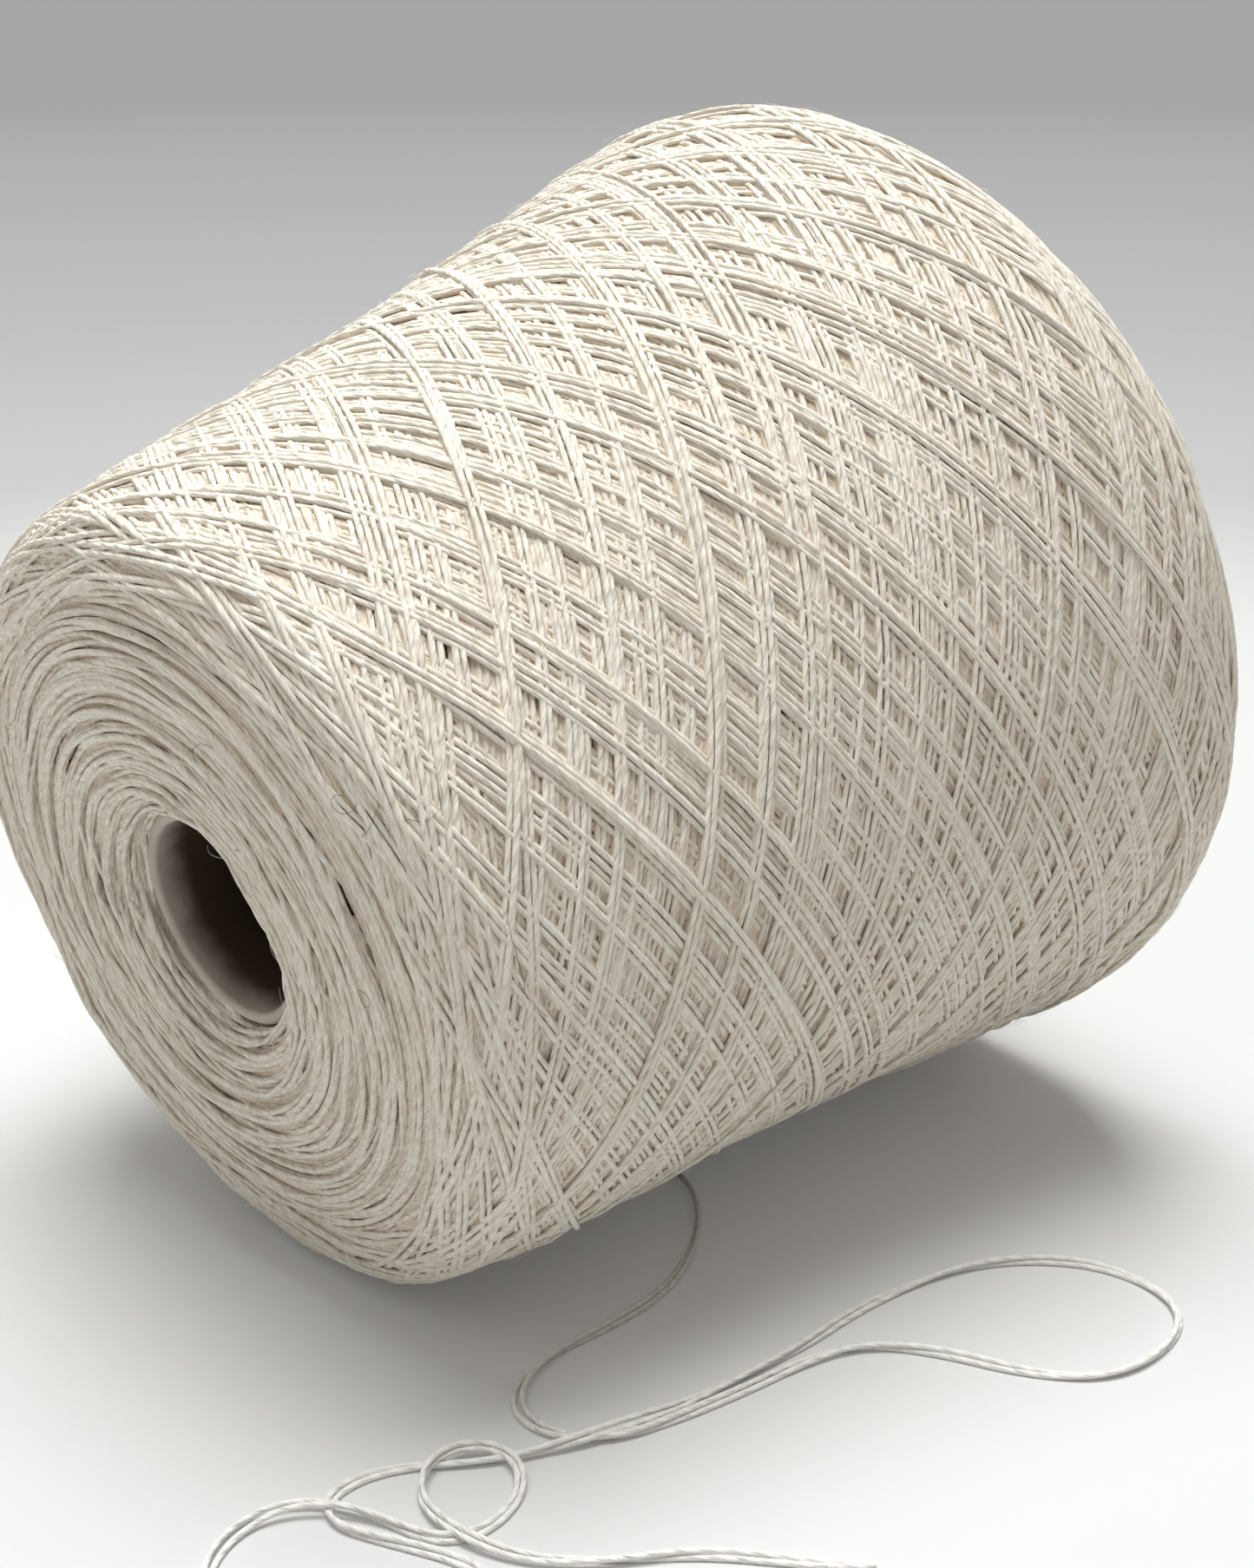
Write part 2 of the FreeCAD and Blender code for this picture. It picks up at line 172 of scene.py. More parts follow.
class Bed:
    """How high thread lies so far, on a grid once round the package and along its outline."""

    COLUMNS = 1536
    PITCH = 0.2
    # rows kept free before the outline's start
    MARGIN = 5
    STIFF = 0.005
    # columns to each side over which a strand stays stiff, and over which its level is taken
    STIFF_REACH = 16
    LEVEL_REACH = 22

    def __init__(self, length: float) -> None:
        """Start with nothing laid.

        Args:
            length: The outline's length in millimetres.
        """
        self.rows = int(length / self.PITCH) + 12
        self.height = np.zeros((self.COLUMNS, self.rows), dtype=np.float32)

    def lay(
        self,
        first: int,
        along: np.ndarray,
        radius: float,
        pile: float,
        press: float,
        under: np.ndarray,
    ) -> np.ndarray:
        """Lay one strand over what is there, at most once round.

        Args:
            first: Grid column of the strand's first point.
            along: Place along the outline at each following column, in millimetres.
            radius: The strand's radius in millimetres.
            pile: How far it may stand over its surroundings before it packs down.
            press: How far tension pulls it in between its neighbours, in millimetres.
            under: How far it goes down under what is there at each point.

        Returns:
            Height of the strand's centre at each point, in millimetres.
        """
        columns, rows = self.cells(first + np.arange(len(along)), along, 3)
        reach = int(radius / self.PITCH)
        offsets = range(-reach, reach + 1)
        lift = {step: math.sqrt(radius**2 - (step * self.PITCH) ** 2) for step in offsets}
        below = {step: self.height[columns, rows + step] for step in offsets}
        centre = np.max([below[step] + lift[step] for step in offsets], axis=0)
        level = np.mean([below[step] for step in offsets], axis=0) + radius
        level = smooth(level, self.LEVEL_REACH) - press
        padded = np.pad(centre, self.STIFF_REACH, mode="edge")
        centre = np.max(
            [
                padded[shift : shift + len(along)] - self.STIFF * (shift - self.STIFF_REACH) ** 2
                for shift in range(2 * self.STIFF_REACH + 1)
            ],
            axis=0,
        )
        over = np.maximum(centre - level, 0.0)
        centre = np.minimum(centre, level) + pile * (1.0 - np.exp(-over / pile))
        centre = smooth(centre, 4) - under
        for step in offsets:
            old = self.height[columns, rows + step]
            self.height[columns, rows + step] = np.maximum(old, centre + lift[step])
        return centre

    def cells(self, column: np.ndarray, along: np.ndarray, edge: int) -> list[np.ndarray]:
        """Grid cells of some places.

        Args:
            column: Columns, counted on past a full turn.
            along: Places along the outline in millimetres.
            edge: How many rows at each end of the grid are out of reach.

        Returns:
            The columns within the grid, and the rows.
        """
        rows = np.rint(along / self.PITCH).astype(int) + self.MARGIN
        return [column % self.COLUMNS, np.clip(rows, edge, self.rows - 1 - edge)]

    def places(self) -> np.ndarray:
        """Place of each row along the outline, in millimetres."""
        return np.arange(self.rows) * self.PITCH - self.MARGIN * self.PITCH

    def level(self, reach: int) -> np.ndarray:
        """Mean height around each place, over a square of cells.

        Args:
            reach: How many cells it goes to each side.

        Returns:
            The mean heights, on the same grid.
        """
        width = 2 * reach + 1
        padded = np.pad(self.height.astype(float), ((reach + 1, reach), (0, 0)), mode="wrap")
        total = np.cumsum(padded, axis=0)
        mean = (total[width:] - total[:-width]) / width
        padded = np.pad(mean, ((0, 0), (reach + 1, reach)), mode="edge")
        total = np.cumsum(padded, axis=1)
        return (total[:, width:] - total[:, :-width]) / width

    def top(self, share: float) -> np.ndarray:
        """Height that a share of the surface stays under, smoothed along the outline."""
        return smooth(np.quantile(self.height, share, axis=0), 25)


def smooth(values: np.ndarray, reach: int) -> np.ndarray:
    """Running mean over a few neighbours each side, with the ends kept level."""
    padded = np.pad(values, reach, mode="edge")
    total = np.cumsum(np.concatenate([[0.0], padded]))
    width = 2 * reach + 1
    return (total[width:] - total[:-width]) / width


def unit(vectors: np.ndarray) -> np.ndarray:
    """The same directions, with a length of 1."""
    return vectors / np.linalg.norm(vectors, axis=1, keepdims=True)


def travelled(line: np.ndarray) -> np.ndarray:
    """How far along a line each of its points lies."""
    steps = np.linalg.norm(np.diff(line, axis=0), axis=1)
    return np.concatenate([[0.0], np.cumsum(steps)])


@dataclass
class Strand:
    """One thin thread on the package: its first grid column and what it does from there."""

    first: int
    along: np.ndarray
    height: np.ndarray
    radius: float
    shade: float


class TubeMesh:
    """Collects closed tubes, round or a little flattened, and makes one mesh of them.

    The map "Yarn" runs along a tube at a hundredth for each millimetre, from a whole step that
    tells the tubes apart, and once round it. The map "Depth" holds millimetres.
    """

    MAP_SCALE = 0.01
    TONE_STEP = 8.0
    TONES = 64
    # how far over the floor a mesh starts, in metres
    FLOOR_GAP = 0.00002

    def __init__(self, sides: int, width: float = 1.0, height: float = 1.0) -> None:
        """Start with nothing.

        Args:
            sides: How many flat sides each tube has.
            width: How wide a tube lies, as a share of its diameter.
            height: How high a tube lies, as a share of its diameter.
        """
        self.sides = sides
        self.width = width
        self.height = height
        self.points: list[np.ndarray] = []
        self.loops: list[np.ndarray] = []
        self.totals: list[np.ndarray] = []
        self.uvs: list[np.ndarray] = []
        self.depths: list[np.ndarray] = []
        self.count = 0
        self.triangles = 0

    def add(
        self,
        line: np.ndarray,
        out: np.ndarray,
        radius: np.ndarray,
        shade: float,
        depth: np.ndarray | None = None,
    ) -> None:
        """Add one tube.

        Args:
            line: Centre points in millimetres.
            out: A direction away from the surface at each point.
            radius: The tube's radius at each point, in millimetres.
            shade: The tube's own number from 0 to 1, for its colour.
            depth: How far under its surroundings it lies at each point, in millimetres.
        """
        way = unit(np.gradient(line, axis=0))
        across = unit(np.cross(way, out))
        up = np.cross(across, way)
        turn = TURN * np.arange(self.sides) / self.sides
        ring = (
            np.cos(turn)[None, :, None] * across[:, None, :] * self.width
            + np.sin(turn)[None, :, None] * up[:, None, :] * self.height
        )
        rings = line[:, None, :] + ring * np.asarray(radius)[:, None, None]
        number, sides = len(line), self.sides
        self.points.append(rings.reshape(-1, 3))
        base = self.count + sides * np.arange(number - 1)[:, None]
        here = np.arange(sides)[None, :]
        after = (here + 1) % sides
        quads = np.stack(
            [base + here, base + after, base + sides + after, base + sides + here], axis=-1
        ).reshape(-1)
        start_cap = self.count + np.arange(sides)[::-1]
        end_cap = self.count + sides * (number - 1) + np.arange(sides)
        self.loops += [quads, start_cap, end_cap]
        self.totals += [np.full((number - 1) * sides, 4), np.array([sides, sides])]
        travel = travelled(line)
        left = here / sides + 0 * base
        right = (here + 1) / sides + 0 * base
        low = travel[:-1, None] + 0 * here
        high = travel[1:, None] + 0 * here
        tall = np.stack([low, low, high, high], axis=-1).reshape(-1)
        wide = np.stack([left, right, right, left], axis=-1).reshape(-1)
        caps = np.concatenate([np.full(sides, travel[0]), np.full(sides, travel[-1])])
        tall = np.concatenate([tall, caps])
        wide = np.concatenate([wide, np.full(2 * sides, 0.5)])
        own_step = math.floor(shade * self.TONES) * self.TONE_STEP
        self.uvs.append(np.stack([tall * self.MAP_SCALE + own_step, wide], axis=-1))
        deep = np.zeros(number) if depth is None else depth
        start, end = deep[:-1, None] + 0 * here, deep[1:, None] + 0 * here
        deep = np.stack([start, start, end, end], axis=-1).reshape(-1)
        deep = np.concatenate([deep, np.full(2 * sides, deep[0])])
        self.depths.append(np.stack([deep, 0 * deep], axis=-1))
        self.count += number * sides
        self.triangles += (number - 1) * sides * 2 + 2 * (sides - 2)

    def make(self, name: str) -> bpy.types.Object:
        """Make the mesh object.

        Args:
            name: The piece's name.

        Returns:
            The object, at the origin, in metres.
        """
        points = np.concatenate(self.points) * MM
        points[:, 2] = np.maximum(points[:, 2], self.FLOOR_GAP)
        loops = np.concatenate(self.loops)
        totals = np.concatenate(self.totals)
        mesh = bpy.data.meshes.new(name)
        mesh.vertices.add(len(points))
        mesh.vertices.foreach_set("co", points.astype(np.float32).ravel())
        mesh.loops.add(len(loops))
        mesh.loops.foreach_set("vertex_index", loops.astype(np.int32))
        mesh.polygons.add(len(totals))
        starts = np.concatenate([[0], np.cumsum(totals)[:-1]])
        mesh.polygons.foreach_set("loop_start", starts.astype(np.int32))
        mesh.polygons.foreach_set("use_smooth", np.ones(len(totals), dtype=bool))
        mesh.update(calc_edges=True)
        mesh.validate()
        for title, values in (("Yarn", self.uvs), ("Depth", self.depths)):
            layer = mesh.uv_layers.new(name=title)
            layer.data.foreach_set("uv", np.concatenate(values).astype(np.float32).ravel())
        return in_scene(name, mesh)


def in_scene(name: str, data: bpy.types.ID) -> bpy.types.Object:
    """Make an object of some data and put it in the scene, at the origin."""
    made = bpy.data.objects.new(name, data)
    bpy.context.scene.collection.objects.link(made)
    return made


def open_alone(piece: bpy.types.Object) -> None:
    """Select one mesh alone and open it for editing, with all of it selected."""
    bpy.ops.object.select_all(action="DESELECT")
    bpy.context.view_layer.objects.active = piece
    piece.select_set(True)
    bpy.ops.object.mode_set(mode="EDIT")
    bpy.ops.mesh.select_all(action="SELECT")


def close_outward(piece: bpy.types.Object) -> None:
    """Turn the faces of the mesh that is open for editing outwards, and close it again."""
    bpy.ops.mesh.normals_make_consistent(inside=False)
    bpy.ops.object.mode_set(mode="OBJECT")
    piece.data.polygons.foreach_set("use_smooth", [True] * len(piece.data.polygons))


class Wire:
    """The output of a node, so that sums on a surface's values read as plain sums."""

    def __init__(self, graph: "Graph", socket: bpy.types.NodeSocket) -> None:
        """Wrap a socket of a graph."""
        self.graph = graph
        self.socket = socket

    def _sum(self, kind: str, *values: "float | Wire") -> "Wire":
        """One Math node on the given values."""
        inputs = dict(enumerate(values))
        return self.graph.node("ShaderNodeMath", {"operation": kind}, inputs)[0]

    def __add__(self, other: "float | Wire") -> "Wire":
        """Sum."""
        return self._sum("ADD", self, other)

    def __sub__(self, other: "float | Wire") -> "Wire":
        """Difference."""
        return self._sum("SUBTRACT", self, other)

    def __rsub__(self, other: float) -> "Wire":
        """Difference with a number first."""
        return self._sum("SUBTRACT", other, self)

    def __mul__(self, other: "float | Wire") -> "Wire":
        """Product."""
        return self._sum("MULTIPLY", self, other)

    def __truediv__(self, other: "float | Wire") -> "Wire":
        """Quotient."""
        return self._sum("DIVIDE", self, other)

    def floor(self) -> "Wire":
        """Whole part."""
        return self._sum("FLOOR", self)

    def sine(self) -> "Wire":
        """Sine of the value in radians."""
        return self._sum("SINE", self)

    def within(self, low: float, high: float) -> "Wire":
        """Where the value lies between two numbers, as 0 to 1, eased at both."""
        settings = {"interpolation_type": "SMOOTHSTEP"}
        return self.graph.node("ShaderNodeMapRange", settings, {0: self, 1: low, 2: high})[0]


class Graph:
    """The nodes of one material, or of the world."""

    def __init__(self, owner: bpy.types.Material | bpy.types.World) -> None:
        """Start without nodes.

        Args:
            owner: The new material or world.
        """
        self.owner = owner
        owner.use_nodes = True
        self.tree = owner.node_tree
        self.tree.nodes.clear()

    def node(
        self, kind: str, settings: dict[str, object], inputs: dict[object, object]
    ) -> list[Wire]:
        """Add one node.

        Args:
            kind: The node's type name.
            settings: Its own settings, such as an operation, or a ramp's stops.
            inputs: Values or wires by the socket's name or number.

        Returns:
            Its outputs, in order.
        """
        made = self.tree.nodes.new(kind)
        for name, value in settings.items():
            if name == "stops":
                self._set_stops(made.color_ramp, value)
            else:
                setattr(made, name, value)
        for key, value in inputs.items():
            if isinstance(value, Wire):
                self.tree.links.new(value.socket, made.inputs[key])
            else:
                made.inputs[key].default_value = value
        return [Wire(self, output) for output in made.outputs]

    @staticmethod
    def _set_stops(ramp: bpy.types.ColorRamp, stops: list[tuple[float, tuple]]) -> None:
        """Give a colour ramp its stops."""
        while len(ramp.elements) < len(stops):
            ramp.elements.new(1.0)
        for element, (place, colour) in zip(ramp.elements, stops):
            element.position = place
            element.color = (*colour, 1.0)

    def blend(self, factor: "float | Wire", first: "Colour | Wire", second: Colour) -> Wire:
        """Mix two colours by a factor."""
        start = first if isinstance(first, Wire) else (*first, 1.0)
        inputs = {"Factor": factor, 6: start, 7: (*second, 1.0)}
        return self.node("ShaderNodeMix", {"data_type": "RGBA"}, inputs)[2]

    def place(self) -> Wire:
        """Place on the object, in its own coordinates in metres."""
        return self.node("ShaderNodeTexCoord", {}, {})[3]

    def axes(self, vector: Wire) -> list[Wire]:
        """The three parts of a vector."""
        return self.node("ShaderNodeSeparateXYZ", {}, {0: vector})

    def bump(self, height: Wire, distance: float, strength: float) -> Wire:
        """Normal of a surface with fine relief, with the distance in metres."""
        inputs = {"Strength": strength, "Distance": distance, "Height": height}
        return self.node("ShaderNodeBump", {}, inputs)[0]

    def seen(self) -> Wire:
        """1 where the camera sees the surface, straight, mirrored or through glass, or else 0."""
        path = self.node("ShaderNodeLightPath", {}, {})
        return (path[0] + path[3] + path[6]).within(0.0, 1.0)

    def noise(self, place: Wire, scale: float, detail: float) -> Wire:
        """Soft noise from 0 to 1 at a place."""
        inputs = {"Vector": place, "Scale": scale, "Detail": detail}
        return self.node("ShaderNodeTexNoise", {}, inputs)[0]

    def finish(self, inputs: dict[str, object]) -> bpy.types.Material:
        """End in a Principled shader with the given inputs."""
        shader = self.node("ShaderNodeBsdfPrincipled", {}, inputs)[0]
        self.node("ShaderNodeOutputMaterial", {}, {"Surface": shader})
        return self.owner


@dataclass(frozen=True)
class ThreadFinish:
    """Matte undyed thread: fine fibres run along it with a long twist, each end its own tone, with
    painted shade in the gaps and on each strand's low side.
    """

    name: str = "undyed_thread"
    light: Colour = (0.935, 0.895, 0.815)
    dark: Colour = (0.77, 0.695, 0.59)
    painted_shade: Colour = (0.70, 0.53, 0.37)
    twist_mm: float = 3.6
    plies: float = 2.0
    fibres: float = 8.0
    # the painted shade colour comes in between these depths, and up to this share; a strand's low
    # side counts as deeper
    painted_shade_depths: tuple[float, float] = (-0.2, 1.9)
    painted_shade_share: float = 0.85
    relief: float = 0.00028

    def make(self) -> bpy.types.Material:
        """Build the material on the strands' own maps."""
        graph = Graph(bpy.data.materials.new(self.name))
        length, round_it, _ = graph.axes(graph.node("ShaderNodeUVMap", {"uv_map": "Yarn"}, {})[0])
        number = (length / TubeMesh.TONE_STEP).floor()
        travel = length * (1.0 / TubeMesh.MAP_SCALE)
        around = round_it + travel / (2.0 * self.twist_mm)
        plies = (around * (TURN * self.plies)).sine() * 0.5 + 0.5
        fibre_place = graph.node(
            "ShaderNodeCombineXYZ", {}, {0: travel * 0.4, 1: around * self.fibres, 2: number * 3.7}
        )[0]
        fibres = graph.noise(fibre_place, 1.0, 3.0)
        cloud = graph.noise(graph.place(), 45.0, 3.0)
        own = graph.node("ShaderNodeTexWhiteNoise", {"noise_dimensions": "1D"}, {"W": number})[0]
        tone = (fibres - 0.5) * 3.0 + plies * 0.3 + own * 0.25 + cloud * 0.3 + 0.2
        colour = graph.blend(tone, self.dark, self.light)
        depth = graph.axes(graph.node("ShaderNodeUVMap", {"uv_map": "Depth"}, {})[0])[0]
        # painted shade: darker where a strand lies deep between its neighbours, and on its low
        # side
        low_side = 0.5 - (round_it * TURN).sine() * 0.5
        shade = (depth + low_side * 1.3).within(*self.painted_shade_depths) * self.painted_shade_share
        return graph.finish(
            {
                "Base Color": graph.blend(shade, colour, self.painted_shade),
                "Roughness": 0.9,
                "Specular IOR Level": 0.25,
                "Sheen Weight": 0.12,
                "Sheen Roughness": 0.5,
                "Normal": graph.bump(plies * 0.5 + fibres * 1.2, self.relief, 1.0),
            }
        )


@dataclass(frozen=True)
class FibreFinish:
    """Single loose fibres, each a little lighter or darker along its length."""

    name: str
    light: Colour
    dark: Colour

    def make(self) -> bpy.types.Material:
        """Build the material on the object's own coordinates."""
        graph = Graph(bpy.data.materials.new(self.name))
        cloud = graph.noise(graph.place(), 300.0, 2.0)
        colour = graph.blend(cloud.within(0.35, 0.65), self.dark, self.light)
        return graph.finish({"Base Color": colour, "Roughness": 0.7, "Specular IOR Level": 0.3})


@dataclass(frozen=True)
class PaintedShadePackFinish:
    """The inner layers, seen only between the strands: the same thread painted darker and browner
    as shade, with lines like wound thread.
    """

    name: str = "inner_layers"
    # painted shade: the inner layers are the same thread, coloured darker for the shade between
    # the strands
    light: Colour = (0.62, 0.52, 0.40)
    dark: Colour = (0.42, 0.33, 0.24)

    def make(self) -> bpy.types.Material:
        """Build the material on the object's own coordinates."""
        graph = Graph(bpy.data.materials.new(self.name))
        place = graph.place()
        settings = {"wave_type": "BANDS", "bands_direction": "X"}
        inputs = {"Vector": place, "Scale": 190.0, "Distortion": 2.0, "Detail": 2.0}
        bands = graph.node("ShaderNodeTexWave", settings, inputs)[1]
        cloud = graph.noise(place, 160.0, 2.0)
        colour = graph.blend(bands * 0.6 + cloud * 0.4, self.dark, self.light)
        bump = graph.bump(bands, 0.0004, 0.8)
        return graph.finish({"Base Color": colour, "Roughness": 0.95, "Normal": bump})


@dataclass(frozen=True)
class PaperFinish:
    """Pressed grey-beige paper, painted brown and dull down the bore as the bore's shade."""

    name: str = "pressed_paper"
    pale: Colour = (0.64, 0.575, 0.505)
    fibre: Colour = (0.54, 0.475, 0.405)
    # painted shade: the colour deep in the bore, where the paper lies in shadow
    deep: Colour = (0.06, 0.037, 0.021)
    # the painted shade of the bore comes in between these distances from the nose and from the
    # foot, in millimetres
    nose_fade: tuple[float, float] = (4.0, 13.0)
    foot_fade: tuple[float, float] = (5.0, 20.0)
    # how far a soft noise moves the painted shade's edges, in millimetres
    shade_wander: float = 6.0

    def make(self, pose: Pose, tube: "PaperTube") -> bpy.types.Material:
        """Build the material.

        Args:
            pose: Where the package lies, for the distance down the bore.
            tube: The tube, for which of its faces is the bore.

        Returns:
            The material.
        """
        graph = Graph(bpy.data.materials.new(self.name))
        place = graph.place()
        east, north, up = graph.axes(place)
        cos, sin = math.cos(pose.rise), math.sin(pose.rise)
        east, up = east - pose.start_x * MM, up - pose.start_z * MM
        station = (east * cos + up * sin) * (1.0 / MM)
        across = graph.node("ShaderNodeCombineXYZ", {}, {0: east * sin - up * cos, 1: north})[0]
        radius = graph.node("ShaderNodeVectorMath", {"operation": "LENGTH"}, {0: across})[1]
        middle = station * tube.taper + (tube.nose_radius - tube.wall * 0.5)
        inside = (middle - radius * (1.0 / MM)).within(-0.4, 0.4)
        speck = graph.noise(place, 900.0, 3.0)
        cloud = graph.noise(place, 120.0, 3.0)
        paper = graph.blend(speck * 0.6 + cloud * 0.5, self.fibre, self.pale)
        # painted shade down the bore, away from the nose and from the foot
        from_nose = (station + cloud * self.shade_wander).within(*self.nose_fade)
        foot = tube.nose_station + tube.length
        from_foot = (foot - station + cloud * self.shade_wander).within(*self.foot_fade)
        return graph.finish(
            {
                "Base Color": graph.blend(from_nose * from_foot * inside, paper, self.deep),
                "Roughness": 0.82,
                "Specular IOR Level": 0.3,
                "Normal": graph.bump(speck, 0.0002, 0.35),
            }
        )


@dataclass(frozen=True)
class FloorFinish:
    """A white sweep: matte paper that takes the shadow, and a glow seen only by the camera that
    paints grey into the distance as painted fall-off of light.
    """

    name: str = "white_sweep"
    paper: Colour = (0.71, 0.71, 0.71)
    cloudy: Colour = (0.5, 0.5, 0.5)
    # distance in metres, and the painted grey of the light's fall-off that is seen there
    distance: tuple[tuple[float, float], ...] = (
        (0.2, 0.80), (0.56, 0.645), (1.0, 0.53), (1.6, 0.47), (3.0, 0.385), (4.0, 0.38),
    )
    # the painted grey glow takes over from the paper between these distances, and as painted light
    # lifts the shadow a little
    change: tuple[float, float] = (0.26, 0.75)
    lift: float = 0.19

    def make(self) -> bpy.types.Material:
        """Build the material on the floor's own coordinates."""
        graph = Graph(bpy.data.materials.new(self.name))
        place = graph.place()
        away = graph.node("ShaderNodeVectorMath", {"operation": "LENGTH"}, {0: place})[1]
        reach = self.distance[-1][0]
        stops = [(far / reach, (grey, grey * 1.005, grey)) for far, grey in self.distance]
        grey = graph.node("ShaderNodeValToRGB", {"stops": stops}, {"Fac": away / reach})[0]
        sheet = graph.blend(graph.noise(place, 30.0, 3.0) * 0.04, self.paper, self.cloudy)
        inputs = {"Base Color": sheet, "Roughness": 0.9, "Specular IOR Level": 0.1}
        matte = graph.node("ShaderNodeBsdfPrincipled", {}, inputs)[0]
        # painted light: a glow seen only by the camera, grey by distance, and lifting the shadow
        # near the package
        glow = graph.node("ShaderNodeEmission", {}, {"Color": grey})[0]
        share = (away.within(*self.change) + self.lift).within(0.0, 1.0) * graph.seen()
        mixed = graph.node("ShaderNodeMixShader", {}, {0: share, 1: matte, 2: glow})[0]
        graph.node("ShaderNodeOutputMaterial", {}, {"Surface": mixed})
        return graph.owner


@dataclass(frozen=True)
class SkyFinish:
    """Warm light from all round, seen as the grey of the far floor."""

    name: str = "studio"
    light: Colour = (1.0, 0.92, 0.85)
    strength: float = 0.25
    grey: Colour = (0.38, 0.382, 0.38)

    def make(self) -> bpy.types.World:
        """Build the world."""
        graph = Graph(bpy.data.worlds.new(self.name))
        inputs = {"Color": (*self.light, 1.0), "Strength": self.strength}
        light = graph.node("ShaderNodeBackground", {}, inputs)[0]
        wall = graph.node("ShaderNodeBackground", {}, {"Color": (*self.grey, 1.0)})[0]
        mixed = graph.node("ShaderNodeMixShader", {}, {0: graph.seen(), 1: light, 2: wall})[0]
        graph.node("ShaderNodeOutputWorld", {}, {"Surface": mixed})
        return graph.owner


@dataclass
class PaperTube:
    """The tapered paper tube, with its rounded lip at the small end."""

    pose: Pose
    nose_radius: float = 19.0
    nose_station: float = 2.7
    length: float = 163.0
    taper: float = math.tan(math.radians(5.95))
    wall: float = 2.2
    land: float = 8.0
    steps: int = 144

    def profile(self) -> list[tuple[float, float]]:
        """Radius and station round the wall, from the lip out along the tube and back inside."""
        nose, wall, first = self.nose_radius, self.wall, self.nose_station
        last = first + self.length
        base = nose + self.length * self.taper
        lip = [
            (nose - wall * 0.5 + wall * 0.5 * math.cos(turn), first + 1.0 - math.sin(turn))
            for turn in np.linspace(math.pi, 0.0, 11)
        ]
        outside = [(nose + step * self.taper, first + step) for step in (6, 40, 90, 140)]
        foot = [
            (base - wall * 0.5 + wall * 0.5 * math.cos(turn), last - 0.8 + 0.8 * math.sin(turn))
            for turn in np.linspace(0.0, math.pi, 9)
        ]
        slope = (base - nose) / (self.length - self.land)
        inside = [
            (nose - wall + slope * (step - self.land), first + step)
            for step in (140, 90, 40, 20, self.land)
        ]
        return lip + outside + foot + inside

    def build(self) -> bpy.types.Object:
        """Spin the profile into a closed tube and lay it with the package.

        Returns:
            The tube, which stands for the tube's CAD node.
        """
        mesh = bpy.data.meshes.new("paper_tube")
        spots = [(radius, 0.0, station) for radius, station in self.profile()]
        count = len(spots)
        edges = [(index, (index + 1) % count) for index in range(count)]
        mesh.from_pydata(spots, edges, [])
        tube = in_scene("paper_tube", mesh)
        open_alone(tube)
        bpy.ops.mesh.spin(steps=self.steps, angle=TURN, center=(0, 0, 0), axis=(0, 0, 1))
        bpy.ops.mesh.select_all(action="SELECT")
        bpy.ops.mesh.remove_doubles(threshold=0.001)
        close_outward(tube)
        mesh.transform(self.pose.matrix())
        mesh.update()
        mesh.materials.append(PaperFinish().make(self.pose, self))
        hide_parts("cone_tube")
        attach(tube, "root")
        return tube


